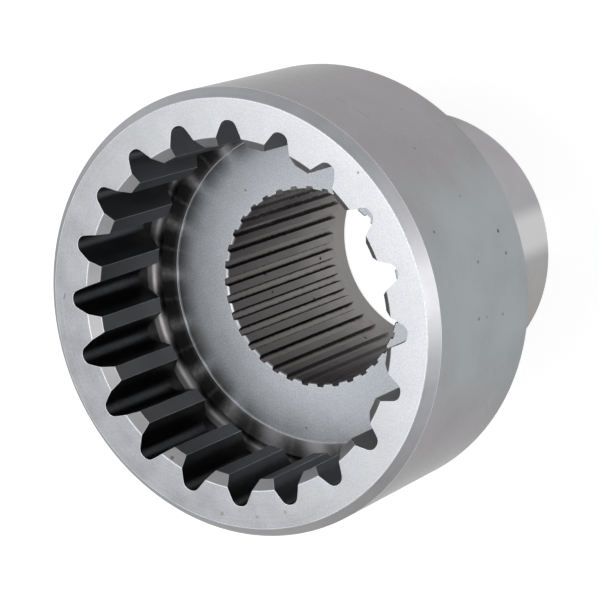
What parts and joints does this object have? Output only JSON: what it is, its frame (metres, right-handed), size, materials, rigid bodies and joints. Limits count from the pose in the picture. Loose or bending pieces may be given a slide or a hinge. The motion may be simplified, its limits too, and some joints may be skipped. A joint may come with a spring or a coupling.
{
  "type": "driveshaft coupler",
  "caption": "Turned steel coupling sleeve: a chamfered drum with a coarse internal spline and a narrower hub behind it with a fine internal spline and a counterbore.",
  "frame": {"origin": "centre of the hub's end face, on the axis of the sleeve", "axes": "+Z along the axis from the hub's end face towards the mouth of the drum, +X through the middle of one space of the coarse spline"},
  "size_m": [0.12, 0.12, 0.1072],
  "materials": {
    "sleeve_steel": "turned and oiled bare steel, satin, with fine machining marks"
  },
  "bodies": {
    "root": {"coupling_sleeve": "sleeve_steel"}
  },
  "joints": []
}
